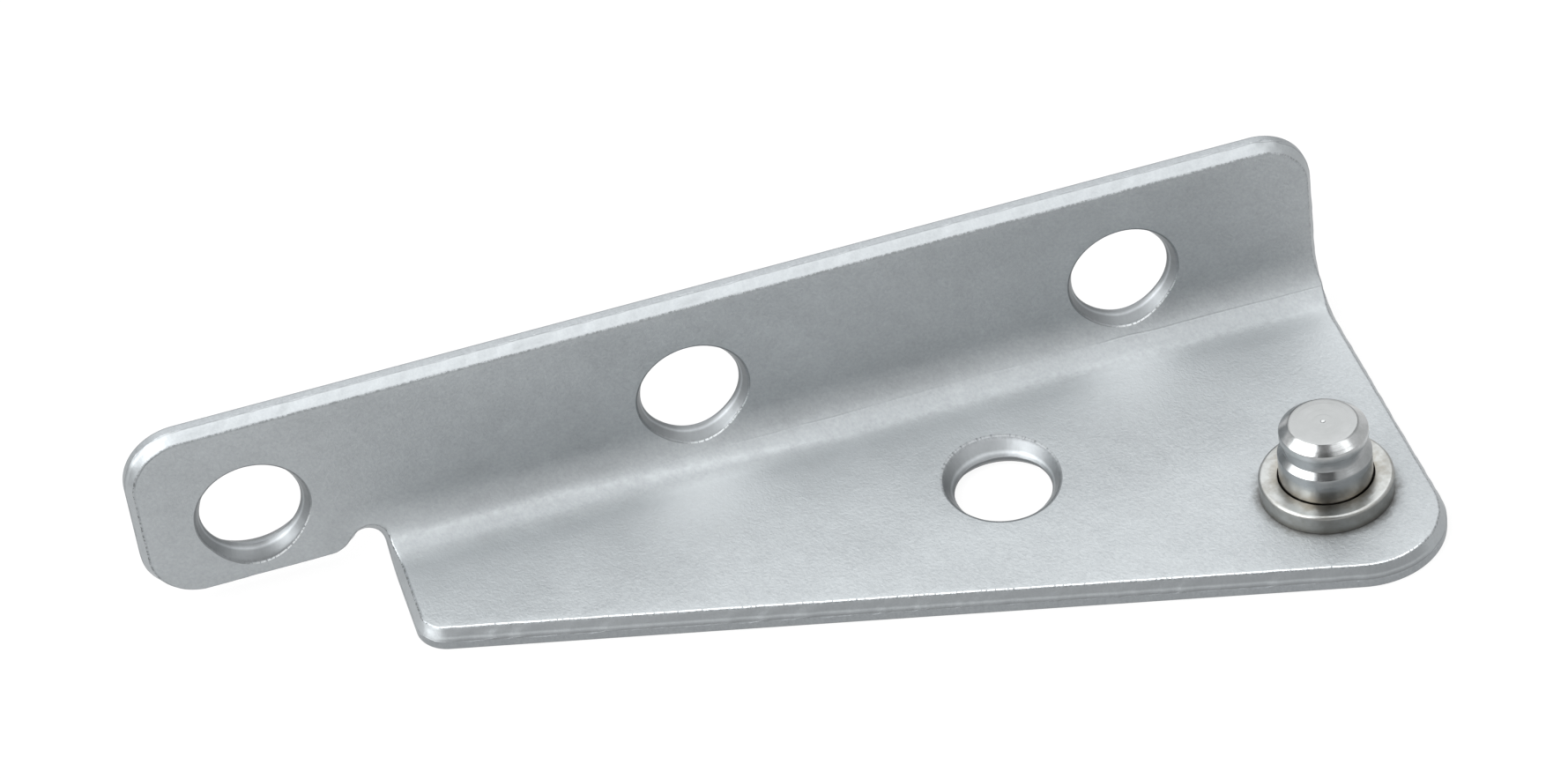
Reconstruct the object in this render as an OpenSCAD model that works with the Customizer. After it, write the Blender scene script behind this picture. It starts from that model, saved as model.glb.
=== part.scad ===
// Hinge bracket folded from one stamped sheet, with a riveted hinge pin and a loose bearing ring.
// Origin: axis of the middle wall hole, on the wall's mounting face. X runs along the fold,
// Y points out of the mounting face and Z points up.

/* [Sheet] */
// Thickness of the sheet
sheet_t = 2; // [1.6:0.1:3]
// Inside radius of the fold
fold_r = 4; // [2.5:0.5:6]
// How far the broken part of a cut edge leans in
break_in = 0.6; // [0.3:0.05:0.8]
// Depth of the broken part of a cut edge, from the inner face
break_deep = 1.1; // [0.6:0.05:1.3]

/* [Wall] */
// Middle hole to the wall's left end
wall_left = 47.8; // [44:0.2:60]
// Middle hole to the wall's right end
wall_right = 55.4; // [54:0.2:70]
// Hole line to the wall's top edge
wall_rise = 9.6; // [8:0.2:16]
// Hole line to the underside of the base
wall_drop = 8.8; // [8:0.2:14]
// Height of the tab's lower edge above the underside of the base
tab_rise = 1.4; // [0.8:0.1:2]
// Radius of the wall's corners
wall_corner_r = 5; // [2:0.5:6.5]

/* [Wall holes] */
// Distance from one wall hole to the next
hole_pitch = 38; // [34:0.5:40]
// Diameter of the wall holes' sheared bore
hole_d = 8.6; // [5:0.1:9]
// Diameter of the wall holes' flared mouth
wall_mouth_d = 10.1; // [9.2:0.1:11]
// Depth of the flared mouths
mouth_deep = 1; // [0.6:0.1:1.3]

/* [Base] */
// Middle hole to the base's left edge
base_left = 27.7; // [24:0.1:32]
// Depth of the base at its left edge, from the mounting face
base_near = 14.5; // [12:0.5:18]
// Depth of the base at its right edge, from the mounting face
base_far = 40.1; // [36:0.5:48]
// Radius of the base's small left corner
near_corner_r = 3; // [1.5:0.5:5]
// Radius of the base's large right corner
far_corner_r = 7.2; // [4:0.2:9]

/* [Base hole] */
// Middle wall hole to the base hole, along the fold
base_hole_x = 22.4; // [16:0.2:30]
// Depth of the base hole's axis, from the mounting face
base_hole_y = 15.2; // [14:0.2:18]
// Diameter of the base hole's sheared bore
base_hole_d = 8.2; // [5:0.1:9]
// Diameter of the base hole's flared mouth
base_mouth_d = 10.8; // [9.2:0.1:12]

/* [Relief notch] */
// Radius of the notch's round end
notch_r = 1.3; // [0.9:0.1:1.6]
// Height of the notch's top above the underside of the base
notch_rise = 3.3; // [2.8:0.1:3.8]
// Radius of the tab's corner beside the notch
notch_lip_r = 2.8; // [1.8:0.1:3.4]

/* [Pin] */
// Distance from the pin's axis to the right edge of the base
pin_inset = 8.6; // [7:0.1:11.4]
// Depth of the pin's axis, from the mounting face
pin_y = 26.8; // [25:0.2:28]
// Diameter of the pin's shank
pin_d = 7.8; // [7.4:0.1:9]
// Height of the pin above the base
pin_h = 7.4; // [7:0.1:10]
// Diameter of the pin's head
head_d = 7.4; // [7:0.1:7.4]
// Height of the pin's head
head_h = 1.4; // [1:0.1:1.8]
// Radius of the round shoulder on the head
shoulder_r = 0.8; // [0.3:0.1:0.9]
// Diameter of the centre mark on the head
mark_d = 0.6; // [0.3:0.1:1]
// Diameter at the bottom of the snap groove
groove_d = 6.8; // [6.2:0.1:6.9]
// Width of the snap groove
groove_w = 1.2; // [0.8:0.1:1.6]
// How far the pin's foot is turned down where the ring sits
seat_step = 0.2; // [0.1:0.05:0.4]
// Diameter of the riveted tail
tail_d = 6; // [5:0.1:6.4]
// Diameter of the tail's spread end
tail_head_d = 7.2; // [6.6:0.1:7.4]
// Depth of the tail's spread end
tail_head_h = 0.6; // [0.4:0.1:1]

/* [Ring] */
// Outside diameter of the ring
ring_d = 11.2; // [10.4:0.1:13]
// Height of the ring
ring_h = 1.8; // [1.2:0.1:2.4]
// Gap between the pin's shank and the ring's bore
ring_gap = 0.1; // [0.05:0.05:0.2]
// Rounding of the ring's upper edges
ring_edge_r = 0.3; // [0.1:0.05:0.4]

/* [Hidden] */
$fn = 96;
over = 0.2; // how far a cutter runs past the face that it opens
lap = 1; // how far the break of a straight edge runs on past the edge's ends
nick = 0.01; // how far round cuts pass each other where they would only touch
skim = 1.5; // degrees that the break of the tab's corner runs on into the notch
under_z = -wall_drop;
top_z = under_z + sheet_t;
fold_z = top_z + fold_r; // height where the fold meets the flat wall
fold_y = -(sheet_t + fold_r); // depth where the fold meets the flat base
tab_z = under_z + tab_rise;
notch_z = under_z + notch_rise;
notch = [nick - base_left - notch_r, notch_z - notch_r]; // centre of the notch's round end
lip_z = tab_z + notch_lip_r;
lip_x = notch[0] - sqrt(pow(notch_r + notch_lip_r - nick, 2) - pow(notch[1] - lip_z, 2));
lip = [lip_x, lip_z]; // centre of the tab's corner beside the notch
lip_turn = atan2(notch[1] - lip_z, notch[0] - lip_x); // where that corner runs into the notch
notch_turn = (fold_z - notch[1]) / (fold_r + sheet_t / 2) * 180 / PI; // the same height round the fold
pin_x = wall_right - pin_inset;
seat_h = ring_h + ring_gap;
groove_top = pin_h - head_h;
groove_foot = groove_top - groove_w;
shank_top = groove_foot - (pin_d - groove_d) / 2;

// Corners of the flat wall and the flat base, counter-clockwise: the point, its radius, and
// whether the edge from there to the next corner was cut in the die.
wall_corners = [
    [[-wall_left, tab_z], wall_corner_r, true],
    [[lip_x, tab_z], 0, false],
    [lip + notch_lip_r * unit(notch - lip), 0, false],
    [notch - [0, notch_r / 2], 0, false],
    [[notch[0], fold_z], 0, false],
    [[wall_right, fold_z], 0, true],
    [[wall_right, wall_rise], wall_corner_r, true],
    [[-wall_left, wall_rise], wall_corner_r, true]
];
base_corners = [
    [[-base_left, fold_y], 0, true],
    [[-base_left, -base_near], near_corner_r, true],
    [[wall_right, -base_far], far_corner_r, true],
    [[wall_right, fold_y], 0, false]
];

function unit(v) = v / norm(v);
function heading(v) = atan2(v[1], v[0]);
function corner(list, i) = list[(i + len(list)) % len(list)][0];
function radius(list, i) = list[(i + len(list)) % len(list)][1];
function toward(list, i, step) = unit(corner(list, i + step) - corner(list, i));
// Half the angle at a corner, and from it where the round of the corner starts, ends and has its centre.
function half(list, i) = acos(toward(list, i, -1) * toward(list, i, 1)) / 2;
function setback(list, i) = radius(list, i) == 0 ? 0 : radius(list, i) / tan(half(list, i));
function arc_start(list, i) = corner(list, i) + toward(list, i, -1) * setback(list, i);
function arc_end(list, i) = corner(list, i) + toward(list, i, 1) * setback(list, i);
function arc_centre(list, i) = corner(list, i)
    + unit(toward(list, i, -1) + toward(list, i, 1)) * radius(list, i) / sin(half(list, i));
// Outline with its corners rounded.
module outline(list) {
    polygon([for (i = [0 : len(list) - 1]) each
        radius(list, i) > 0 ? [arc_start(list, i), arc_end(list, i)] : [corner(list, i)]]);
    for (i = [0 : len(list) - 1])
        if (radius(list, i) > 0) translate(arc_centre(list, i)) circle(r = radius(list, i));
}

// Section of what breaks away beside a cut edge. X is the distance out of the edge and Y the height
// over the inner face. Its slope runs on past both ends of the broken part.
function break_section(edge) = [
    [edge + break_in / 2, -1.5 * break_deep],
    [edge + break_in / 2, break_deep / 2],
    [edge - 1.5 * break_in, break_deep / 2]
];

// Break along a straight cut edge from p to q, with the sheet on the left.
module straight_break(p, q) {
    translate([p[0], p[1], sheet_t]) rotate([0, 0, heading(q - p)]) translate([norm(q - p) + lap, 0, 0])
        rotate([90, 0, -90]) linear_extrude(norm(q - p) + 2 * lap) polygon(break_section(0));
}

// Break round an outward arc.
module arc_break(centre, r, from, turn) {
    translate([centre[0], centre[1], sheet_t]) rotate([0, 0, from]) rotate_extrude(angle = turn)
        polygon(break_section(r + nick));
}

// Every break of a flat part's outline.
module breaks(list) {
    for (i = [0 : len(list) - 1]) {
        if (list[i][2]) straight_break(arc_end(list, i), arc_start(list, i + 1));
        if (radius(list, i) > 0) {
            arc_break(arc_centre(list, i), radius(list, i),
                      heading(arc_start(list, i) - arc_centre(list, i)), 180 - 2 * half(list, i));
        }
    }
}

// Flared end of an opening of radius r that widens by grow over a depth. The inner face is at z = 0.
module flare(r, grow, deep, past) {
    translate([0, 0, -deep]) cylinder(r1 = r, r2 = r + grow * (1 + past / deep), h = deep + past);
}

// Pierced hole: a sheared bore from the outer face, then the flared mouth on the inner face.
module pierced(bore_d, mouth_d) {
    translate([0, 0, -over]) cylinder(d = bore_d, h = sheet_t + 2 * over);
    translate([0, 0, sheet_t]) flare(bore_d / 2, (mouth_d - bore_d) / 2, mouth_deep, fold_r / 3);
}

// Round end of the notch, widening where the edge broke.
module notch_end() {
    translate([0, 0, -sheet_t - over]) cylinder(r = notch_r, h = sheet_t + 2 * over);
    flare(notch_r, break_in, break_deep, over);
}

// Flat wall, drawn with its inner face up.
module wall() {
    rotate([90, 0, 0]) difference() {
        linear_extrude(sheet_t) {
            outline(wall_corners);
            translate(lip) circle(r = notch_lip_r);
        }
        breaks(wall_corners);
        arc_break(lip, notch_lip_r, -90, 90 + lip_turn + skim);
        translate([notch[0], notch[1], sheet_t]) notch_end();
    }
}

// Flat base, with its inner face up.
module base() {
    translate([0, 0, under_z]) difference() {
        linear_extrude(sheet_t) outline(base_corners);
        breaks(base_corners);
    }
}

// Core of the sheet across both ends of the fold, so that wall, fold and base lap into each other.
module laps() {
    core = sheet_t / 2;
    for (at = [[-sheet_t / 2, fold_z], [fold_y, under_z + sheet_t / 2]])
        translate([lap - base_left, at[0] - core / 2, at[1] - core / 2])
            cube([wall_right + base_left - 2 * lap, core, core]);
}

// Quarter turn between the base and the wall. Above the notch it reaches on to the tab, and the
// notch's round end is cut square to the sheet there.
module fold() {
    translate([0, fold_y, fold_z]) rotate([0, 90, 0]) difference() {
        rotate_extrude(angle = 90) polygon([
            [fold_r, notch[0]],
            [fold_r + sheet_t, notch[0]],
            [fold_r + sheet_t, wall_right],
            [fold_r + break_deep, wall_right],
            [fold_r, wall_right - break_in]
        ]);
        rotate_extrude(angle = 90 - notch_turn) polygon([
            [fold_r - break_deep / 2, -base_left + 1.5 * break_in],
            [fold_r + break_deep, -base_left],
            [fold_r + sheet_t + over, -base_left],
            [fold_r + sheet_t + over, notch[0] - over],
            [fold_r - break_deep / 2, notch[0] - over]
        ]);
        rotate([0, 0, 90 - notch_turn]) translate([fold_r, 0, notch[0]]) rotate([0, -90, 0]) notch_end();
    }
}

module bracket() {
    color([0.72, 0.72, 0.71]) difference() {
        union() {
            wall();
            fold();
            base();
            laps();
        }
        rotate([90, 0, 0]) for (i = [-1 : 1]) translate([i * hole_pitch, 0, 0])
            pierced(hole_d, wall_mouth_d);
        translate([base_hole_x, -base_hole_y, under_z]) pierced(base_hole_d, base_mouth_d);
        translate([pin_x, -pin_y, under_z]) {
            translate([0, 0, -over]) cylinder(d = tail_d, h = sheet_t + 2 * over);
            mirror([0, 0, 1]) translate([0, 0, -tail_head_h])
                cylinder(d1 = tail_d, d2 = 2 * tail_head_d - tail_d, h = 2 * tail_head_h);
        }
    }
}

// Turned pin, riveted flush with the underside of the base.
module pin() {
    head_r = head_d / 2;
    color([0.80, 0.80, 0.79]) translate([pin_x, -pin_y, top_z]) rotate_extrude() {
        polygon([
            [0, -sheet_t],
            [tail_head_d / 2, -sheet_t],
            [tail_d / 2, tail_head_h - sheet_t],
            [tail_d / 2, 0],
            [pin_d / 2 - seat_step, 0],
            [pin_d / 2 - seat_step, seat_h],
            [pin_d / 2, seat_h],
            [pin_d / 2, shank_top],
            [groove_d / 2, groove_foot],
            [groove_d / 2, groove_top],
            [head_r, groove_top],
            [head_r, pin_h - shoulder_r],
            [head_r - shoulder_r, pin_h - shoulder_r],
            [head_r - shoulder_r, pin_h],
            [mark_d / 2, pin_h],
            [0, pin_h - mark_d / 2]
        ]);
        translate([head_r - shoulder_r, pin_h - shoulder_r]) circle(r = shoulder_r);
    }
}

// Bearing ring, loose on the pin and resting on the base.
module ring() {
    bore_r = pin_d / 2 + ring_gap;
    crown_r = ring_d / 2 - ring_edge_r;
    color([0.70, 0.66, 0.58]) translate([pin_x, -pin_y, top_z]) rotate_extrude() {
        polygon([
            [bore_r, 0],
            [ring_d / 2, 0],
            [ring_d / 2, ring_h - ring_edge_r],
            [crown_r, ring_h - ring_edge_r],
            [crown_r, ring_h],
            [bore_r, ring_h]
        ]);
        translate([crown_r, ring_h - ring_edge_r]) circle(r = ring_edge_r);
    }
}

bracket();
pin();
ring();
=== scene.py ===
import math

import bpy
import numpy as np
from mathutils import Matrix, Vector, geometry


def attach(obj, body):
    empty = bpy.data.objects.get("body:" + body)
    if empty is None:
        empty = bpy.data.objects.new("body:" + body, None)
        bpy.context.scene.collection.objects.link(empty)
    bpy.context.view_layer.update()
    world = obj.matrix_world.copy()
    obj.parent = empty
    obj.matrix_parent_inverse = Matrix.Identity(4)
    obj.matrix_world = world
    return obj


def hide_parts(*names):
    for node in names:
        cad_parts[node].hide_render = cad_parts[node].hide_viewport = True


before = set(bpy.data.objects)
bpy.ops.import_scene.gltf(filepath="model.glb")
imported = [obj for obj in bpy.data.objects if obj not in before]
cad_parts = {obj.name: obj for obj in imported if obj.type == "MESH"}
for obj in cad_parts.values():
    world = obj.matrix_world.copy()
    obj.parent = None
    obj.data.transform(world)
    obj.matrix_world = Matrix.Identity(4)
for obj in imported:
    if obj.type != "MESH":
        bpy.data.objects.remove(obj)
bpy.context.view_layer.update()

# Shapes are worked out in millimetres, in the frame of the solids: x along the fold, y out of the
# wall's outer face, z up. Shader places are in metres, as Object coordinates are.
mm = 0.001
pinAt = (46.8, -26.8)
footTop, underside = -6.8, -8.8


# Soft step: 0 up to a, 1 from b on, and three squares less two cubes between them.
def smooth(a, b, x):
    t = np.clip((x - a) / (b - a), 0, 1)
    return t * t * (3 - 2 * t)


# Closed random ripple of unit strength: white noise with everything shorter than wave smoothed out.
def ripple(count, step, wave, seed):
    white = np.random.default_rng(seed).normal(size=count)
    freq = np.fft.rfftfreq(count, step)
    out = np.fft.irfft(np.fft.rfft(white) * np.exp(-(freq * wave) ** 2 / 2), count)
    return out / out.std()


# Arc round a centre: cosine and sine of the angle times the radius, angles in degrees.
def arc(cx, cy, r, start, end, count=96):
    a = np.radians(np.linspace(start, end, count))
    return np.c_[cx + r * np.cos(a), cy + r * np.sin(a)]


# Closed loop through the points, respaced evenly along its length, with the normal to its right.
def evenLoop(points, step):
    closed = np.vstack([points, points[:1]])
    run = np.r_[0, np.cumsum(np.hypot(*np.diff(closed, axis=0).T))]
    count = int(round(run[-1] / step))
    at = np.arange(count) * run[-1] / count
    loop = np.c_[np.interp(at, run, closed[:, 0]), np.interp(at, run, closed[:, 1])]
    along = np.roll(loop, -1, 0) - np.roll(loop, 1, 0)
    along /= np.hypot(*along.T)[:, None]
    return loop, np.c_[along[:, 1], -along[:, 0]], at


# Mesh from points in millimetres, with smooth faces and sharp edges past an angle in degrees.
def meshObject(name, verts, faces, mats, faceMat=None, floats=None, sharp=35):
    mesh = bpy.data.meshes.new(name)
    mesh.from_pydata(np.asarray(verts) * mm, [], faces)
    mesh.update()
    for mat in mats:
        mesh.materials.append(mat)
    if faceMat is not None:
        mesh.polygons.foreach_set("material_index", np.asarray(faceMat, dtype=np.int32))
    for key, values in (floats or {}).items():
        data = mesh.attributes.new(key, "FLOAT", "POINT").data
        data.foreach_set("value", np.asarray(values, dtype=np.float32))
    mesh.shade_smooth()
    mesh.set_sharp_from_angle(angle=math.radians(sharp))
    mesh.validate()
    obj = bpy.data.objects.new(name, mesh)
    bpy.context.scene.collection.objects.link(obj)
    return obj


# camera: focal length in the photo's pixels, place in metres, and the picture's axes in the frame
cameraSet = {"photoWidth": 1779, "focal": 6454.8, "sensor": 36,
             "place": (-0.0613347, -0.3609779, 0.3059887),
             "right": (0.955058, -0.276155, -0.107713),
             "down": (-0.258888, -0.600139, -0.756843)}

camera = bpy.data.cameras.new("camera")
camera.sensor_width = cameraSet["sensor"]
camera.lens = cameraSet["focal"] * cameraSet["sensor"] / cameraSet["photoWidth"]
camera.clip_start, camera.clip_end = 0.01, 50
right, down = Vector(cameraSet["right"]), Vector(cameraSet["down"])
turned = Matrix((right, -down, right.cross(-down))).transposed().to_4x4()
cameraObj = bpy.data.objects.new("camera", camera)
cameraObj.matrix_world = Matrix.Translation(cameraSet["place"]) @ turned
bpy.context.scene.collection.objects.link(cameraObj)
bpy.context.scene.camera = cameraObj
print("camera set")


# Put a link or a plain value into a socket.
def feed(tree, socket, value):
    if isinstance(value, bpy.types.NodeSocket):
        tree.links.new(value, socket)
    elif value is not None:
        socket.default_value = value


def maths(tree, op, a, b=None, clamp=False):
    node = tree.nodes.new("ShaderNodeMath")
    node.operation, node.use_clamp = op, clamp
    feed(tree, node.inputs[0], a)
    feed(tree, node.inputs[1], b)
    return node.outputs[0]


def plus(tree, first, *others):
    for other in others:
        first = maths(tree, "ADD", first, other)
    return first


def times(tree, first, *others):
    for other in others:
        first = maths(tree, "MULTIPLY", first, other)
    return first


# How far a value lies from another, either way.
def apart(tree, a, b):
    return maths(tree, "ABSOLUTE", maths(tree, "SUBTRACT", a, b))


# Value carried from the range low..high onto the range start..end, and held at its ends.
def span(tree, value, low, high, start, end):
    node = tree.nodes.new("ShaderNodeMapRange")
    for name, number in zip(("From Min", "From Max", "To Min", "To Max"), (low, high, start, end)):
        node.inputs[name].default_value = number
    tree.links.new(value, node.inputs["Value"])
    return node.outputs["Result"]


def noise(tree, vec, scale, detail=2.0, rough=0.5, twist=0.0):
    node = tree.nodes.new("ShaderNodeTexNoise")
    tree.links.new(vec, node.inputs["Vector"])
    for name, number in (("Scale", scale), ("Detail", detail), ("Roughness", rough), ("Distortion", twist)):
        node.inputs[name].default_value = number
    return node.outputs["Fac"]


def objectPlace(tree):
    return tree.nodes.new("ShaderNodeTexCoord").outputs["Object"]


def partsOf(tree, vec):
    node = tree.nodes.new("ShaderNodeSeparateXYZ")
    tree.links.new(vec, node.inputs[0])
    return node.outputs


def flatVector(tree, x, y):
    node = tree.nodes.new("ShaderNodeCombineXYZ")
    feed(tree, node.inputs[0], x)
    feed(tree, node.inputs[1], y)
    return node.outputs[0]


# Distance from the pin's axis: root of the squares of x and y measured from it.
def fromPinAxis(tree, x, y):
    squares = [maths(tree, "POWER", maths(tree, "SUBTRACT", value, at * mm), 2)
               for value, at in zip((x, y), pinAt)]
    return maths(tree, "SQRT", plus(tree, *squares))


def newGroup(name, inputs, outputs):
    group = bpy.data.node_groups.new(name, "ShaderNodeTree")
    for key, value in inputs.items():
        group.interface.new_socket(key, in_out="INPUT", socket_type="NodeSocketFloat").default_value = value
    for key in outputs:
        group.interface.new_socket(key, in_out="OUTPUT", socket_type="NodeSocketFloat")
    return group, group.nodes.new("NodeGroupInput").outputs, group.nodes.new("NodeGroupOutput").inputs


def useGroup(tree, group, **values):
    node = tree.nodes.new("ShaderNodeGroup")
    node.node_tree = group
    for key, value in values.items():
        feed(tree, node.inputs[key], value)
    return node.outputs


def metal(name, color, rough):
    mat = bpy.data.materials.new(name)
    mat.use_nodes = True
    shader = mat.node_tree.nodes["Principled BSDF"].inputs
    shader["Base Color"].default_value = (*color, 1)
    shader["Metallic"].default_value = 1
    shader["Roughness"].default_value = rough
    return mat, mat.node_tree, shader


# Colour between two others, each a link or a plain colour.
def blend(tree, fac, first, second):
    node = tree.nodes.new("ShaderNodeMix")
    node.data_type = "RGBA"
    tree.links.new(fac, node.inputs["Factor"])
    for name, color in (("A", first), ("B", second)):
        feed(tree, node.inputs[name], (*color, 1) if isinstance(color, tuple) else color)
    return node.outputs["Result"]


def bump(tree, height, distance):
    node = tree.nodes.new("ShaderNodeBump")
    node.inputs["Distance"].default_value = distance
    tree.links.new(height, node.inputs["Height"])
    return node.outputs["Normal"]


def attribute(tree, name):
    node = tree.nodes.new("ShaderNodeAttribute")
    node.attribute_name = name
    return node.outputs["Fac"]


# plated skin: fine leathery dimples, longer one way and lying aslant, under a cloudy tone; the
# numbers are noise scales to the unit, which is in metres
skinSet = {"turn": (0.3, 0.5, -0.89), "unit": (0.0013, 0.001, 0.001),
           "fine": 3.7, "mid": 0.9, "cloud": 0.11, "midHeight": 0.4,
           "toneOf": {"cloud": 0.33, "mid": 0.12, "fine": 0.35}}


def platedSkin():
    tree, _, result = newGroup("platedSkin", {}, ("Height", "Tone", "Haze"))
    aslant = tree.nodes.new("ShaderNodeMapping")
    aslant.vector_type = "TEXTURE"
    aslant.inputs["Rotation"].default_value = skinSet["turn"]
    aslant.inputs["Scale"].default_value = skinSet["unit"]
    feed(tree, aslant.inputs["Vector"], objectPlace(tree))
    at = aslant.outputs[0]
    fine = noise(tree, at, skinSet["fine"], 2, 0.6, 0.4)
    mid = noise(tree, at, skinSet["mid"], 2, 0.5, 0.3)
    cloud = noise(tree, at, skinSet["cloud"], 3, 0.6)
    share = skinSet["toneOf"]
    tone = plus(tree, times(tree, mid, share["mid"]), times(tree, fine, share["fine"]))
    feed(tree, result["Height"], plus(tree, fine, times(tree, mid, skinSet["midHeight"])))
    feed(tree, result["Tone"], plus(tree, times(tree, cloud, share["cloud"]), tone))
    feed(tree, result["Haze"], cloud)
    return tree


# Marks that the tools left, and painted light and shade on the fold and foot, by place in the frame and in
# metres. On the inner fold y and z add up to the same along its middle, so their sum tells how far a point
# lies across the fold.
marksAndLightSet = {"middle": 0.0088, "wander": 0.0011,
            "foldBack": (-0.0062, -0.0058), "foldTop": (-0.003, -0.0027), "foldLeft": (-0.029, -0.0275),
            "crease": 0.00017, "creaseFrom": (-0.006, 0.008),
            "pressedHighlight": 0.0009, "pressedHighlightTurn": (-0.012, 0.012), "pressedHighlightShift": (0.0004, 0.0026),
            "softBack": (-0.0078, -0.0045), "softTop": (-0.0048, -0.001),
            # painted light: the strip of the foot in front of the wall is lightened
            "paintedFillFront": (-0.017, -0.0082), "paintedFillBack": (-0.0058, -0.0048),
            "paintedFillUp": (-0.0071, -0.0069),
            # painted contact shadow round the ring: where it fades out, its ragged edge and how fast it
            # falls off
            "paintedShadow": (0.0056, 0.0065), "paintedShadowRagged": 0.0012, "paintedShadowFall": 1.6,
            "noise": {"wander": 110, "patches": 120, "speckle": 1500, "paintedShadow": 1100}}


def toolMarksAndPaintedLight():
    tree, _, result = newGroup("toolMarksAndPaintedLight", {}, ("Crease", "PressedHighlight", "PaintedFill", "Fold", "PaintedShadow"))
    place = objectPlace(tree)
    x, y, z = partsOf(tree, place)

    def rising(value, name):
        return span(tree, value, *marksAndLightSet[name], 0, 1)

    def falling(value, name):
        return span(tree, value, *marksAndLightSet[name], 1, 0)

    def centred(scale, rough):
        return maths(tree, "SUBTRACT", noise(tree, place, scale, 3, rough), 0.5)

    scales = marksAndLightSet["noise"]
    wander = times(tree, centred(scales["wander"], 0.5), marksAndLightSet["wander"])
    across = plus(tree, plus(tree, y, z), plus(tree, wander, marksAndLightSet["middle"]))
    onFold = times(tree, rising(y, "foldBack"), falling(z, "foldTop"), rising(x, "foldLeft"))

    # the thin crease, broken up, on the right half only
    line = span(tree, maths(tree, "ABSOLUTE", across), 0, marksAndLightSet["crease"], 1, 0)
    patchy = span(tree, noise(tree, place, scales["patches"], 2, 0.5), 0.4, 0.55, 0.15, 1)
    patchy = times(tree, patchy, rising(x, "creaseFrom"))
    feed(tree, result["Crease"], times(tree, line, onFold, patchy))

    # the burnished band beside it, also painted lighter as the fold's highlight, which leaves the middle
    # from left to right
    shift = span(tree, x, *marksAndLightSet["pressedHighlightTurn"], *marksAndLightSet["pressedHighlightShift"])
    band = span(tree, maths(tree, "ABSOLUTE", plus(tree, across, shift)), 0, marksAndLightSet["pressedHighlight"], 1, 0)
    speckled = span(tree, noise(tree, place, scales["speckle"], 3, 0.7), 0.35, 0.65, 0.2, 1)
    feed(tree, result["PressedHighlight"], times(tree, band, onFold, speckled))

    # the whole fold with soft ends, and painted light on the strip of the foot in front of it
    feed(tree, result["Fold"], times(tree, rising(y, "softBack"), falling(z, "softTop")))
    strip = times(tree, rising(y, "paintedFillFront"), falling(y, "paintedFillBack"))
    feed(tree, result["PaintedFill"], times(tree, strip, rising(z, "paintedFillUp")))

    # painted contact shadow that spreads over the foot from under the ring
    ragged = times(tree, centred(scales["paintedShadow"], 0.7), marksAndLightSet["paintedShadowRagged"])
    paintedShadow = falling(plus(tree, fromPinAxis(tree, x, y), ragged), "paintedShadow")
    feed(tree, result["PaintedShadow"], maths(tree, "POWER", paintedShadow, marksAndLightSet["paintedShadowFall"]))
    return tree


zincSet = {"metallic": 0.8, "tone": (0.25, 0.55), "dark": (0.28, 0.297, 0.307),
           "light": (0.373, 0.394, 0.406),
           "marksAndLight": {"PaintedFill": (0.5, (0.46, 0.485, 0.5)), "PressedHighlight": (0.45, (0.5, 0.525, 0.54)),
                     "PaintedShadow": (0.8, (0.11, 0.11, 0.105))},
           "haze": (0.3, 0.7), "rough": (0.5, 0.57), "grain": 0.00004, "calmFold": 0.4, "creaseDeep": 0.5}


def zincFace():
    mat, tree, shader = metal("zincFace", (0.36, 0.38, 0.39), 0.53)
    shader["Metallic"].default_value = zincSet["metallic"]
    skin, marksAndLight = useGroup(tree, platedSkin()), useGroup(tree, toolMarksAndPaintedLight())
    color = blend(tree, span(tree, skin["Tone"], *zincSet["tone"], 0, 1), zincSet["dark"], zincSet["light"])
    # painted light on a strip of the foot, a burnished band lightened as a painted highlight, and a painted
    # contact shadow round the ring
    for mark, (share, tone) in zincSet["marksAndLight"].items():
        color = blend(tree, times(tree, marksAndLight[mark], share), color, tone)
    feed(tree, shader["Base Color"], color)
    feed(tree, shader["Roughness"], span(tree, skin["Haze"], *zincSet["haze"], *zincSet["rough"]))
    calm = times(tree, skin["Height"], span(tree, marksAndLight["Fold"], 0, 1, 1, zincSet["calmFold"]))
    crease = times(tree, marksAndLight["Crease"], zincSet["creaseDeep"])
    feed(tree, shader["Normal"], bump(tree, maths(tree, "SUBTRACT", calm, crease), zincSet["grain"]))
    return mat


# cut edges: streaks run through the thickness, dashes sit where the tear meets the inner face
streakSet = {"stretch": 0.35, "streak": 3.2, "speck": 4.5, "dash": 3.2, "dashEdge": (0.47, 0.54),
             "dashAt": 1.92, "dashWide": (0.02, 0.09)}


def edgeStreaks():
    tree, given, result = newGroup("edgeStreaks", {"Run": 0, "Depth": 0}, ("Streak", "Dash", "Speck"))
    run, depth = given["Run"], given["Depth"]
    drawnOut = flatVector(tree, run, times(tree, depth, streakSet["stretch"]))
    feed(tree, result["Streak"], noise(tree, drawnOut, streakSet["streak"], 3, 0.6))
    flat = flatVector(tree, run, depth)
    feed(tree, result["Speck"], noise(tree, flat, streakSet["speck"], 2, 0.6))
    dash = span(tree, noise(tree, flat, streakSet["dash"], 5, 0.8), *streakSet["dashEdge"], 0, 1)
    rim = span(tree, apart(tree, depth, streakSet["dashAt"]), *streakSet["dashWide"], 1, 0)
    feed(tree, result["Dash"], times(tree, dash, rim))
    return tree


# The two bands of a cut edge. Grain is the bump's height in metres, dashes and shade say how strong the
# torn dashes and the painted shade on the holes' walls are, and fall how soon that shade sets in.
edgeSet = {
    "zincSheared": {"dark": (0.25, 0.265, 0.277), "light": (0.30, 0.318, 0.33), "rough": 0.48,
                    "grain": 0.000008, "dashes": 0.0, "shade": 0.75, "fall": 6},
    "zincBroken": {"dark": (0.32, 0.338, 0.35), "light": (0.355, 0.375, 0.387), "rough": 0.5,
                   "grain": 0.00001, "dashes": 0.85, "shade": 0.6, "fall": 0.6}}
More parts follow.
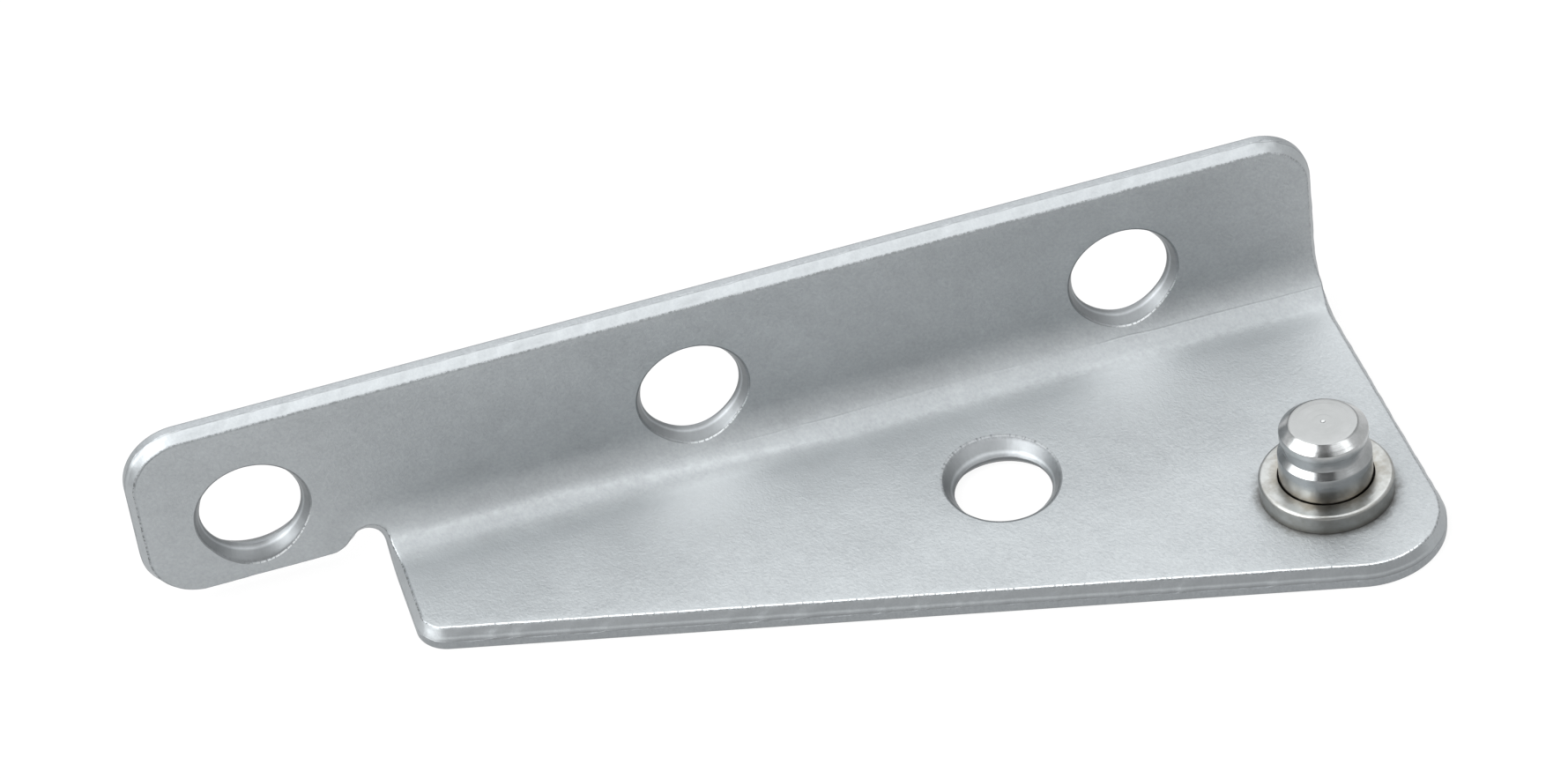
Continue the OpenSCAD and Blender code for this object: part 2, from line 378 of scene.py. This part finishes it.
# tints: torn dashes; a dark line for painted shade at the rolled outer end and for the seam; painted shade
# of hole walls; white of the painted rim highlight
edgeTints = {"torn": (0.07, 0.075, 0.075), "line": (0.12, 0.125, 0.13), "hole": (0.13, 0.138, 0.143),
             "rim": (0.85, 0.88, 0.9)}
edgeDepths = {"rolledShade": (0, 0.22), "seam": 0.95, "seamWide": (0.02, 0.07), "holeStep": 1.2,
              "holeWide": (0.02, 0.15), "rim": (1.95, 1.98)}


def edgeMetal(name, streaks):
    own = edgeSet[name]
    mat, tree, shader = metal(name, own["light"], own["rough"])
    depth = attribute(tree, "depth")
    streak = useGroup(tree, streaks, Run=attribute(tree, "edgeRun"), Depth=depth)
    grain = plus(tree, times(tree, streak["Streak"], 0.5), times(tree, streak["Speck"], 0.5))
    color = blend(tree, span(tree, grain, 0.35, 0.65, 0, 1), own["dark"], own["light"])
    torn = times(tree, streak["Dash"], own["dashes"], attribute(tree, "torn"))
    color = blend(tree, torn, color, edgeTints["torn"])
    # painted shade darkens the rolled outer end of every edge
    color = blend(tree, span(tree, depth, *edgeDepths["rolledShade"], 0.7, 0), color, edgeTints["line"])
    seam = span(tree, apart(tree, depth, edgeDepths["seam"]), *edgeDepths["seamWide"], 0.35, 0)
    color = blend(tree, seam, color, edgeTints["line"])
    # painted shade on the walls of the holes, the foot's front edge and the top left corners, with less of
    # it at depth 1.2
    step = apart(tree, depth, edgeDepths["holeStep"])
    step = span(tree, step, *edgeDepths["holeWide"], 0.1, own["shade"])
    paintedEdgeShade = times(tree, maths(tree, "POWER", attribute(tree, "shade"), own["fall"]), step)
    color = blend(tree, paintedEdgeShade, color, edgeTints["hole"])
    # painted highlight: the rounded rim is whitened in specks where the shine attribute says
    rim = times(tree, span(tree, depth, *edgeDepths["rim"], 0, 1), attribute(tree, "shine"),
                span(tree, streak["Speck"], 0.36, 0.52, 0, 0.9))
    feed(tree, shader["Base Color"], blend(tree, rim, color, edgeTints["rim"]))
    height = plus(tree, times(tree, streak["Streak"], 0.4), streak["Speck"])
    feed(tree, shader["Normal"], bump(tree, height, own["grain"]))
    return mat


# lathe work: fine rings by radius and height, so many to the metre, and stains over them
latheSet = {"pitch": 3000, "stain": 700, "deep": 0.000012}


def latheRings():
    outputs = ("Height", "Radius", "Stain", "Above")
    tree, given, result = newGroup("latheRings", {"Pitch": latheSet["pitch"]}, outputs)
    place = objectPlace(tree)
    x, y, z = partsOf(tree, place)
    radius = fromPinAxis(tree, x, y)
    rings = tree.nodes.new("ShaderNodeVectorMath")
    rings.operation = "SCALE"
    feed(tree, rings.inputs[0], flatVector(tree, radius, z))
    feed(tree, rings.inputs["Scale"], given["Pitch"])
    feed(tree, result["Height"], noise(tree, rings.outputs[0], 1, 2, 0.6))
    feed(tree, result["Stain"], noise(tree, place, latheSet["stain"], 3, 0.6))
    feed(tree, result["Radius"], radius)
    feed(tree, result["Above"], z)
    return tree


# The pin's tones, from painted shade on its flat end down to a painted shadow under its head and a brownish
# painted reflection of the ring on its foot in the ring.
turnedSet = {"dark": (0.33, 0.34, 0.34), "light": (0.43, 0.44, 0.445), "rough": (0.19, 0.26),
             "end": (0.2, 0.207, 0.207), "endShadeFrom": (0.00045, 0.00058), "centreMark": (0.0001, 0.0002),
             "belowHead": (0.2, 0.21, 0.215), "belowHeadFrom": (-0.0009, -0.0005),
             "foot": (0.24, 0.215, 0.18), "footFrom": (-0.0048, -0.0034)}


def turnedSteel(lathe):
    mat, tree, shader = metal("turnedSteel", (0.56, 0.57, 0.565), 0.2)
    work = useGroup(tree, lathe, Pitch=latheSet["pitch"])
    height, stain = work["Above"], work["Stain"]
    color = blend(tree, span(tree, stain, 0.35, 0.65, 0, 1), turnedSet["dark"], turnedSet["light"])
    # painted shade on the flat end, left out at the centre mark
    end = times(tree, span(tree, height, *turnedSet["endShadeFrom"], 0, 1),
                span(tree, work["Radius"], *turnedSet["centreMark"], 0, 1), 0.75)
    color = blend(tree, end, color, turnedSet["end"])
    # a painted shadow under the head, and a brownish painted reflection of the ring low on the shank
    for part in ("belowHead", "foot"):
        color = blend(tree, span(tree, height, *turnedSet[part + "From"], 0.6, 0), color, turnedSet[part])
    feed(tree, shader["Base Color"], color)
    feed(tree, shader["Roughness"], span(tree, stain, 0.3, 0.7, *turnedSet["rough"]))
    feed(tree, shader["Normal"], bump(tree, work["Height"], latheSet["deep"]))
    return mat


# The ring's tones: soil near the bore, painted shade on the outer wall and a dark foot.
ringTints = {"dark": (0.25, 0.25, 0.237), "light": (0.35, 0.36, 0.355),
             "soil": (0.19, 0.17, 0.135), "soilEnd": (0.0046, 0.0057), "soilRagged": 0.0016,
             "wall": (0.2, 0.197, 0.185), "wallShadeFrom": (0.00545, 0.00556),
             "foot": (0.15, 0.14, 0.12), "footFrom": (-0.0068, -0.0061)}


def ringSteel(lathe):
    mat, tree, shader = metal("ringSteel", (0.5, 0.5, 0.47), 0.33)
    work = useGroup(tree, lathe, Pitch=latheSet["pitch"])
    stain, radius = work["Stain"], work["Radius"]
    color = blend(tree, span(tree, stain, 0.35, 0.6, 0, 1), ringTints["dark"], ringTints["light"])
    soil = plus(tree, radius, times(tree, stain, ringTints["soilRagged"]))
    color = blend(tree, span(tree, soil, *ringTints["soilEnd"], 0.6, 0), color, ringTints["soil"])
    # painted shade on the outer wall
    color = blend(tree, span(tree, radius, *ringTints["wallShadeFrom"], 0, 0.55), color, ringTints["wall"])
    low = span(tree, work["Above"], *ringTints["footFrom"], 0.65, 0)
    color = blend(tree, low, color, ringTints["foot"])
    feed(tree, shader["Base Color"], color)
    feed(tree, shader["Normal"], bump(tree, plus(tree, work["Height"], stain), latheSet["deep"]))
    return mat


streaks, lathe = edgeStreaks(), latheRings()
sheetMats = [zincFace(), edgeMetal("zincSheared", streaks), edgeMetal("zincBroken", streaks)]
pinMat, ringMat = turnedSteel(lathe), ringSteel(lathe)
print("materials made")


# The sheet is drawn flat first: u along the fold, v up the wall, depth from the outer face to the
# inner face. Corners, lip and notch are arcs, the last two as centre and radius. The foot's front
# edge runs from nearY at its left to farY at its right.
sheetSet = {"thick": 2.0, "foldR": 4.0, "foldV": -2.8,
            "left": -47.8, "right": 55.4, "top": 9.6, "tab": -7.4, "corner": 5.0,
            "lip": (-32.43, -4.6, 2.8), "notch": (-28.99, -6.8, 1.3), "stiff": (-31.2, -28.1),
            "footLeft": -27.7, "nearY": -14.5, "farY": -40.1, "nearR": 3.0, "farR": 7.2,
            "roll": 0.26, "breakDeep": 1.12, "leastInset": 0.003, "sharp": 38,
            "bulge": 0.30, "bulgeWide": 1.6, "bulgeRight": 54.8, "bulgeLeft": -27.1, "bulgeEnd": -29.5,
            "step": 0.2, "openStep": 0.16, "rivetStep": 0.3}
neutral = sheetSet["foldR"] + sheetSet["thick"] / 2
quarter = neutral * math.pi / 2
foldTurn = sheetSet["foldR"] + sheetSet["thick"]
flatShift = sheetSet["foldV"] + foldTurn - quarter   # v of a foot point is its y plus this

# openings: centre u and v, bore radius, and how far the mouth opens; the outer side has a lead-in
wallHole = {"r": 4.3, "flare": 0.68, "wall": True}
openings = [{"at": (u, 0.0), **wallHole} for u in (-38.0, 0.0, 38.0)]
openings.append({"at": (22.4, -15.2 + flatShift), "r": 4.1, "flare": 1.25, "wall": False})
mouthSet = {"deep": 1.05, "leadIn": 0.55, "leadDeep": 0.7, "sides": -0.3, "towardsFold": 0.3, "ends": 0.6}
rivetHole = {"at": (pinAt[0], pinAt[1] + flatShift), "r": 3.0, "sink": 0.6, "straight": 1.3}


# Flat sheet to folded sheet. Above the fold line it stays upright. Below it, the angle is the run
# over the neutral radius, and past a quarter turn the rest of the run lies flat.
def bend(u, v, depth):
    run = sheetSet["foldV"] - v
    angle = np.clip(run / neutral, 0, math.pi / 2)
    r = foldTurn - depth
    past = np.clip(run - quarter, 0, None)
    over = np.clip(-run, 0, None)
    y = -foldTurn + r * np.cos(angle) - past
    z = sheetSet["foldV"] - r * np.sin(angle) + over
    hold = smooth(*sheetSet["stiff"], u)   # the tab beside the notch stays flat
    low = run > 0
    y = np.where(low, -depth + (y + depth) * hold, y)
    z = np.where(low, v + (z - v) * hold, z)
    return np.c_[u, y, z]


# Closed outline of the blank: seven arcs in a row, with straight runs between them.
def blankOutline():
    left, right, top, tab = (sheetSet[key] for key in ("left", "right", "top", "tab"))
    nearR, farR, corner = (sheetSet[key] for key in ("nearR", "farR", "corner"))
    lipU, lipV, lipR = sheetSet["lip"]
    notchU, notchV, notchR = sheetSet["notch"]
    lipTurn = math.degrees(math.atan2(notchV - lipV, notchU - lipU))
    slope = (sheetSet["farY"] - sheetSet["nearY"]) / (right - sheetSet["footLeft"])
    lean = math.degrees(math.atan(slope))

    # centre of a round that touches the slanting front edge at u
    def frontCentre(u, r):
        edge = sheetSet["nearY"] + slope * (u - sheetSet["footLeft"])
        return u, edge + r / math.cos(math.radians(lean)) + flatShift

    return np.vstack([
        arc(left + corner, tab + corner, corner, 180, 270),
        arc(lipU, lipV, lipR, 270, 360 + lipTurn),
        arc(notchU, notchV, notchR, 180 + lipTurn, 0),
        arc(*frontCentre(sheetSet["footLeft"] + nearR, nearR), nearR, 180, 270 + lean),
        arc(*frontCentre(right - farR, farR), farR, 270 + lean, 360),
        arc(right - corner, top - corner, corner, 0, 90),
        arc(left + corner, top - corner, corner, 90, 180)])


# edge profile as depth and inset: rolled over, sheared straight, then broken away and rounded off
rollTurn = np.radians(np.linspace(0, 90, 6))
roll, shearEnd = sheetSet["roll"], sheetSet["thick"] - sheetSet["breakDeep"]
edgeDepth = np.r_[roll * (1 - np.cos(rollTurn)), np.linspace(0.42, shearEnd, 4), shearEnd + 0.03,
                  np.linspace(shearEnd + 0.1, 1.86, 8), 1.92, 1.965, 1.99, 2.0]
edgeInset = np.r_[roll * (1 - np.sin(rollTurn)), 0, 0, 0, 0.008, 0.035,
                  np.linspace(0.06, 0.53, 8), 0.575, 0.625, 0.675, 0.74]
brokenPart = smooth(shearEnd, 1.5, edgeDepth)
breakLine = smooth(0.45, 0.9, edgeDepth) * (1 - smooth(1.2, 1.8, edgeDepth))
fields = ("u", "v", "edgeRun", "depth", "torn", "shade", "shine")


# wavelengths of a coarse and a fine ripple, and how far each moves the break
raggedSet = {"waves": (2.2, 0.35), "depth": (0.05, 0.012), "inset": (0.010, 0.004)}


# Ragged break: both ripples along the edge move the break line in depth and the broken part in inset.
def raggedEdge(depth, inset, step, seed, strength):
    count, waves = depth.shape[1], raggedSet["waves"]
    coarse, fine = ripple(count, step, waves[0], seed), ripple(count, step, waves[1], seed + 1)
    deep, far = raggedSet["depth"], raggedSet["inset"]
    depth = depth + breakLine[:, None] * strength * (deep[0] * coarse + deep[1] * fine)
    inset = inset + brokenPart[:, None] * strength * (far[0] * coarse + far[1] * fine)
    return depth, np.clip(inset, sheetSet["leastInset"], None)


# Rows of edge points: each loop point goes into the sheet along its normal by the inset, at its depth.
def edgeRows(loop, out, run, depth, inset, torn, shade, shine):
    u, v = loop[:, 0] - out[:, 0] * inset, loop[:, 1] - out[:, 1] * inset
    values = (u, v, run, depth, torn, shade, shine)
    return {key: np.broadcast_to(value, depth.shape) for key, value in zip(fields, values)}


# Edge of the blank: torn most where it runs up and down the photo. The foot's front edge gets painted shade
# below a painted highlight on its rim, and the corners towards the top left get painted shade too.
def outlineEdge(seed, footBelow=-12):
    step = sheetSet["step"]
    loop, out, run = evenLoop(blankOutline(), step)
    ones = np.ones(len(loop))
    depth, inset = raggedEdge(edgeDepth[:, None] * ones, edgeInset[:, None] * ones, step, seed, 1.0)
    front = smooth(0.8, 0.95, -out[:, 1]) * (loop[:, 1] < footBelow)
    topLeft = smooth(0.8, 1.0, (out[:, 1] - out[:, 0]) / math.sqrt(2))
    torn = 0.6 + 0.4 * smooth(0.75, 0.95, -out[:, 0])
    return edgeRows(loop, out, run, depth, inset, torn, 0.6 * front + 0.5 * topLeft, 0.9 * front)


# Edge of an opening: the same profile, with the broken part widened to the mouth's flare, and a
# straight lead-in in place of the roll.
def openingEdge(hole, seed):
    step, wall = sheetSet["openStep"], hole["wall"]
    loop, out, run = evenLoop(arc(*hole["at"], hole["r"], 360, 0)[:-1], step)
    ones = np.ones(len(loop))
    knots = [0, mouthSet["leadDeep"], sheetSet["thick"] - mouthSet["deep"], sheetSet["thick"]]
    depth = np.interp(edgeDepth, [0, roll, shearEnd, sheetSet["thick"]], knots)[:, None] * ones
    widen = hole["flare"]
    if not wall:   # the foot's mouth is drawn out towards the fold and narrower at its sides
        back = -out[:, 1]
        widen = widen + mouthSet["sides"] + mouthSet["towardsFold"] * back + mouthSet["ends"] * back ** 2
    mouth = (edgeDepth > 0.8)[:, None]
    inset = edgeInset[:, None] * np.where(mouth, widen / edgeInset[-1], 1)
    leadIn = mouthSet["leadIn"] * (1 - depth / mouthSet["leadDeep"])
    inset = np.where((edgeDepth <= roll)[:, None], leadIn, inset * ones)
    depth, inset = raggedEdge(depth, inset, step, seed, 0.35)
    # painted highlight on the rim, by the shine attribute
    if wall:   # the rim shines at the lower right
        shine = 0.8 * smooth(0.6, 0.95, 0.86 * out[:, 1] - 0.5 * out[:, 0])
    else:      # and on the foot at the back
        shine = 0.32 * smooth(-0.2, 0.5, -out[:, 1])
    # the holes' walls get the full painted shade
    rows = edgeRows(loop, out, run, depth, inset, 0.35, 1.0, shine)
    if wall:   # pierced straight through, also where the hole runs into the fold
        below = sheetSet["foldV"] - rows["v"]
        turned = sheetSet["foldV"] - neutral * np.arcsin(np.clip(below / (foldTurn - depth), 0, 1))
        rows["v"] = np.where(below > 0, turned, rows["v"])
    return rows


# Wall of the riveted hole: countersunk from the outer face, straight after that.
def rivetEdge():
    loop, out, run = evenLoop(arc(*rivetHole["at"], rivetHole["r"], 360, 0)[:-1], sheetSet["rivetStep"])
    sink = rivetHole["sink"]
    depth = np.array([0, sink, rivetHole["straight"], sheetSet["thick"]])[:, None] * np.ones(len(loop))
    inset = np.array([sink, 0, 0, 0])[:, None]
    return edgeRows(loop, out, run, depth, inset, 0.35, 0.0, 0.0)


# Which points lie inside the rims: a ray to the right crosses them an odd number of times.
def insideRims(pu, pv, start, end, chunk=4000):
    (su, sv), (eu, ev) = start, end
    hits = np.zeros(len(pu), int)
    for low in range(0, len(pu), chunk):
        part = slice(low, low + chunk)
        x, y = pu[part, None], pv[part, None]
        with np.errstate(divide="ignore", invalid="ignore"):
            at = su + (y - sv) * (eu - su) / (ev - sv)
        hits[part] = (((sv > y) != (ev > y)) & (x < at)).sum(1)
    return hits % 2 == 1


# grid of the faces as start, end and step: along the fold, and up the foot, the fold and the wall
gridSet = {"u": (-48, 56, 1.0), "v": ((-46, -11.4, 1.0), (-11.2, -2.2, 0.4), (-2.0, 10, 1.0))}


# Grid points inside the rims, closer together across the fold, and the triangles that join them to
# the rims. Every other row is shifted by half a step, and points near a rim are left out.
def fillFace(u, v, rims, clearOf=0.3, chunk=500):
    rim = np.concatenate(rims)
    firstOf = np.repeat(np.cumsum([0] + [len(r) for r in rims[:-1]]), [len(r) for r in rims])
    following = firstOf + np.concatenate([np.roll(np.arange(len(r)), -1) for r in rims])
    start = u[rim], v[rim]
    end = start[0][following], start[1][following]
    rows = np.concatenate([np.arange(*part) for part in gridSet["v"]])
    gu, gv = np.meshgrid(np.arange(*gridSet["u"]), rows)
    gu = gu + 0.5 * (np.arange(len(rows)) % 2)[:, None]
    gu, gv = gu.ravel(), gv.ravel()
    keep = insideRims(gu, gv, start, end)
    gu, gv = gu[keep], gv[keep]
    clear = np.full(len(gu), np.inf)
    for low in range(0, len(rim), chunk):
        part = slice(low, low + chunk)
        away = np.hypot(gu[:, None] - start[0][part], gv[:, None] - start[1][part])
        clear = np.minimum(clear, away.min(1))
    gu, gv = gu[clear > clearOf], gv[clear > clearOf]
    pu, pv = np.r_[start[0], gu], np.r_[start[1], gv]
    edges = np.c_[np.arange(len(rim)), following].tolist()
    found = geometry.delaunay_2d_cdt(np.c_[pu, pv].tolist(), edges, [], 0, 1e-7, False)
    tri = np.array(found[2])
    tri = tri[insideRims(pu[tri].mean(1), pv[tri].mean(1), start, end)]
    one, two = (np.stack([p[tri[:, k]] - p[tri[:, 0]] for p in (pu, pv)]) for k in (1, 2))
    flipped = one[0] * two[1] - two[0] * one[1] < 0
    tri[flipped] = tri[flipped][:, ::-1]
    return gu, gv, tri, rim


# Whole sheet: the edges as bands of quads, both faces filled between them, and all of it bent.
def makeSheet():
    holes = [openingEdge(hole, 20 + 3 * i) for i, hole in enumerate(openings)]
    bands = [outlineEdge(5), *holes, rivetEdge()]
    points = {key: np.concatenate([band[key].ravel() for band in bands]) for key in fields}
    faces, faceMat, outerRims, innerRims = [], [], [], []
    start = 0
    for band in bands:
        depth = band["depth"]
        ids = start + np.arange(depth.size).reshape(depth.shape)
        beside = np.roll(ids, -1, 1)
        faces += np.stack([ids[:-1], beside[:-1], beside[1:], ids[1:]], -1).reshape(-1, 4).tolist()
        middle = (depth[:-1] + depth[1:]) / 2
        faceMat += np.where(middle > shearEnd, 2, 1).ravel().tolist()
        outerRims.append(ids[0])
        innerRims.append(ids[-1])
        start += depth.size
    for rims, depth in ((outerRims, 0.0), (innerRims, sheetSet["thick"])):
        gu, gv, tri, rim = fillFace(points["u"], points["v"], rims)
        ids = np.r_[rim, len(points["u"]) + np.arange(len(gu))]
        tri = ids[tri] if depth else ids[tri][:, ::-1]
        filled = {"u": gu, "v": gv, "depth": np.full(len(gu), depth)}
        points = {key: np.r_[points[key], filled.get(key, np.zeros(len(gu)))] for key in fields}
        faces += tri.tolist()
        faceMat += [0] * len(tri)

    # both ends of the fold are squeezed out a little on the inner side, as bells along u
    u, v, depth = points["u"], points["v"], points["depth"]
    inFold = np.sin(np.clip((sheetSet["foldV"] - v) / neutral, 0, math.pi / 2) * 2) ** 2
    inner = smooth(shearEnd, sheetSet["thick"], depth)
    atRight = np.exp(-((u - sheetSet["bulgeRight"]) / sheetSet["bulgeWide"]) ** 2)
    atLeft = np.exp(-((u - sheetSet["bulgeLeft"]) / sheetSet["bulgeWide"]) ** 2)
    atLeft = atLeft * (u > sheetSet["bulgeEnd"])
    bulge = sheetSet["bulge"] * inFold * inner * (atRight - atLeft)
    floats = {key: points[key] for key in fields[2:]}
    folded = bend(u + bulge, v, depth)
    print("sheet made:", len(folded), "points,", len(faces), "faces")
    return meshObject("sheet", folded, faces, sheetMats, faceMat, floats, sheetSet["sharp"])


sheet = makeSheet()


# Profile of radius and height turned about the upright axis at the pin, from the foot's top face.
def spin(name, profile, mat, closed=False, count=192, sharp=30):
    profile = np.array(profile)
    a = np.arange(count) * 2 * math.pi / count
    x, y = pinAt[0] + profile[:, :1] * np.cos(a), pinAt[1] + profile[:, :1] * np.sin(a)
    verts = np.stack([x, y, footTop + np.repeat(profile[:, 1:], count, 1)], -1).reshape(-1, 3)
    ids = np.arange(len(verts)).reshape(len(profile), count)
    above = np.roll(ids, -1, 0) if closed else ids[1:]
    below = ids if closed else ids[:-1]
    quads = np.stack([below, np.roll(below, -1, 1), np.roll(above, -1, 1), above], -1)
    ends = [] if closed else [ids[0][::-1].tolist(), ids[-1].tolist()]
    return meshObject(name, verts, quads.reshape(-1, 4).tolist() + ends, [mat], sharp=sharp)


def corner(cx, cy, r, start, end, count):
    return arc(cx, cy, r, start, end, count).tolist()


# radii and heights over the foot, and the roundings between them
pinSet = {"tail": 3.0, "tailEnd": 3.58, "tailSink": 0.6, "seat": 3.82, "seatTop": 1.6,
          "shank": 3.9, "shankTop": 3.1, "taperTop": 4.22,
          "groove": 3.4, "grooveLow": 4.85, "grooveHigh": 5.85,
          "head": 3.7, "headLow": 6.06, "top": 7.4, "cone": 0.9, "coneIn": 0.98, "coneSlope": 42,
          "edge": 0.25, "endEdge": 0.3, "mark": 0.22, "markDeep": 0.05}


# From the tail's spread end up the shank, in at the groove, out at the head and over its cone.
def pinProfile():
    tail, seat, shank, groove, head = (pinSet[key] for key in ("tail", "seat", "shank", "groove", "head"))
    low, seatTop, top = underside - footTop, pinSet["seatTop"], pinSet["top"]
    edge, endEdge, slope, axis = pinSet["edge"], pinSet["endEdge"], pinSet["coneSlope"], 0.02
    tailEnd, mark = pinSet["tailEnd"], pinSet["mark"]
    points = [(axis, low), (tailEnd - 0.03, low), (tailEnd, low + 0.03), (tail, low + pinSet["tailSink"])]
    points += [(tail, 0.0), (seat, 0.0), (seat, seatTop)]
    points += [(shank - 0.05, seatTop), (shank, seatTop + 0.05), (shank, pinSet["shankTop"])]
    points += corner(shank - 0.08, pinSet["taperTop"], 0.08, 0, 45, 4)
    points += corner(groove + 0.12, pinSet["grooveLow"], 0.12, 225, 180, 4)
    points += [(groove, 5.3)]
    points += corner(groove + 0.15, pinSet["grooveHigh"], 0.15, 180, 90, 4)
    points += corner(head - 0.06, pinSet["headLow"], 0.06, -90, 0, 4)
    points += [(head, top - pinSet["cone"])]
    points += corner(head - edge, top - pinSet["cone"] + 0.03, edge, 0, slope, 5)
    points += corner(head - pinSet["coneIn"], top - endEdge, endEdge, slope, 90, 6)
    points += [(2.0, top), (1.0, top), (mark, top), (mark - 0.05, top - 0.03)]
    return points + [(axis, top - pinSet["markDeep"])]


ringSet = {"bore": 4.0, "r": 5.6, "high": 1.8, "edge": 0.3, "boreEdge": 0.06}


# Closed round its section: foot, outer wall, rounded top edge, top face, bore.
def ringProfile():
    bore, r, high, edge, boreEdge = (ringSet[key] for key in ("bore", "r", "high", "edge", "boreEdge"))
    points = [(bore + 0.03, 0.0), (r - 0.1, 0.0), (r - 0.02, 0.06)]
    points += corner(r - edge, high - edge, edge, 0, 90, 9)
    points += [(4.7, high)]
    points += corner(bore + boreEdge, high - boreEdge, boreEdge, 90, 180, 4)
    return points + [(bore, high / 2), (bore, 0.03)]


pin = spin("hingePin", pinProfile(), pinMat)
ring = spin("bearingRing", ringProfile(), ringMat, closed=True)
print("pin and ring made")

for piece, node, slot in ((sheet, "bracket", "zinc_steel"), (pin, "pin", "turned_steel"),
                          (ring, "ring", "ring_steel")):
    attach(piece, "root")
    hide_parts(node)


# stage: a pale floor that looks white, a plain world, six lamps and a dark room seen in the metal
stageSet = {"drop": -0.00882, "floorR": 6, "floorColor": 0.8, "floorGlow": 0.92,
            "worldPlain": 0.5, "worldWhite": 1.0}
roomSet = {"color": 0.05, "r": 700, "azimuth": (-43, 10), "elevation": (16, 78)}
# azimuth (0 in front, 90 to the right), elevation, width and height in metres, watts
lampSet = {"overhead": (178, 70, 1.3, 1.1, 7.5),
           "backLow": (180, 28, 1.3, 0.35, 0.5),
           "left": (-84, 38, 0.8, 0.8, 9.0),
           "frontFill": (-50, 45, 0.5, 0.5, 3.9),
           "frontTop": (0, 60, 0.9, 0.4, 1.5),
           "frontRight": (50, 45, 0.25, 0.4, 0.8)}


def mixShaders(tree, fac, first, second):
    node = tree.nodes.new("ShaderNodeMixShader")
    for socket, value in zip(node.inputs, (fac, first, second)):
        feed(tree, socket, value)
    return node.outputs[0]


# Camera, glossy and transmission rays see the white shader, the rest sees the plain one.
def whiteForViewer(tree, plain, white):
    path = tree.nodes.new("ShaderNodeLightPath").outputs
    seen = maths(tree, "ADD", path["Is Camera Ray"], path["Is Glossy Ray"], True)
    seen = maths(tree, "ADD", seen, path["Is Transmission Ray"], True)
    return mixShaders(tree, seen, plain, white)


def matt(name, grey, rough):
    mat, tree, shader = metal(name, (grey, grey, grey), rough)
    shader["Metallic"].default_value = 0
    shader["Specular IOR Level"].default_value = 0
    return mat, tree


def makeFloor():
    mat, tree = matt("paleFloor", stageSet["floorColor"], 0.9)
    plain = tree.nodes["Principled BSDF"].outputs[0]
    glow = tree.nodes.new("ShaderNodeEmission")
    glow.inputs["Strength"].default_value = 1
    white = mixShaders(tree, stageSet["floorGlow"], plain, glow.outputs[0])
    feed(tree, tree.nodes["Material Output"].inputs["Surface"], whiteForViewer(tree, plain, white))
    bpy.ops.mesh.primitive_circle_add(vertices=96, radius=stageSet["floorR"], fill_type="NGON",
                                      location=(0, 0, stageSet["drop"]))
    floor = bpy.context.object
    floor.name = "floor"
    floor.data.materials.append(mat)
    return floor


def makeWorld():
    world = bpy.data.worlds.new("studio")
    bpy.context.scene.world = world
    world.use_nodes = True
    tree = world.node_tree
    tree.nodes.clear()
    both = []
    for strength in (stageSet["worldPlain"], stageSet["worldWhite"]):
        sky = tree.nodes.new("ShaderNodeBackground")
        sky.inputs["Color"].default_value = (1, 1, 1, 1)
        sky.inputs["Strength"].default_value = strength
        both.append(sky.outputs[0])
    feed(tree, tree.nodes.new("ShaderNodeOutputWorld").inputs[0], whiteForViewer(tree, *both))


# Area lamp on a sphere round the object, aimed at it.
def softbox(name, azimuth, elevation, wide, high, power, dist=0.9, aim=(0.005, -0.015, 0)):
    a, e = math.radians(azimuth), math.radians(elevation)
    back = Vector((math.sin(a) * math.cos(e), -math.cos(a) * math.cos(e), math.sin(e)))
    lamp = bpy.data.lights.new(name, "AREA")
    lamp.shape, lamp.size, lamp.size_y, lamp.energy = "RECTANGLE", wide, high, power
    obj = bpy.data.objects.new(name, lamp)
    obj.location = back * dist + Vector(aim)
    obj.rotation_euler = back.to_track_quat("Z", "Y").to_euler()
    bpy.context.scene.collection.objects.link(obj)


# Dark patch of a sphere in front, azimuth by elevation, which only reflections see.
def makeRoom():
    mat, _ = matt("darkRoom", roomSet["color"], 1)
    az, el = np.meshgrid(np.radians(np.linspace(*roomSet["azimuth"], 25)),
                         np.radians(np.linspace(*roomSet["elevation"], 13)))
    shell = np.stack([np.sin(az) * np.cos(el), -np.cos(az) * np.cos(el), np.sin(el)], -1).reshape(-1, 3)
    ids = np.arange(len(shell)).reshape(az.shape)
    quads = np.stack([ids[:-1, :-1], ids[:-1, 1:], ids[1:, 1:], ids[1:, :-1]], -1).reshape(-1, 4)
    room = meshObject("darkRoom", roomSet["r"] * shell, quads.tolist(), [mat])
    room.visible_camera = room.visible_shadow = room.visible_diffuse = False
    return room


bpy.context.scene.view_settings.view_transform = "Standard"
makeFloor()
makeWorld()
for name, values in lampSet.items():
    softbox(name, *values)
makeRoom()
print("stage set")
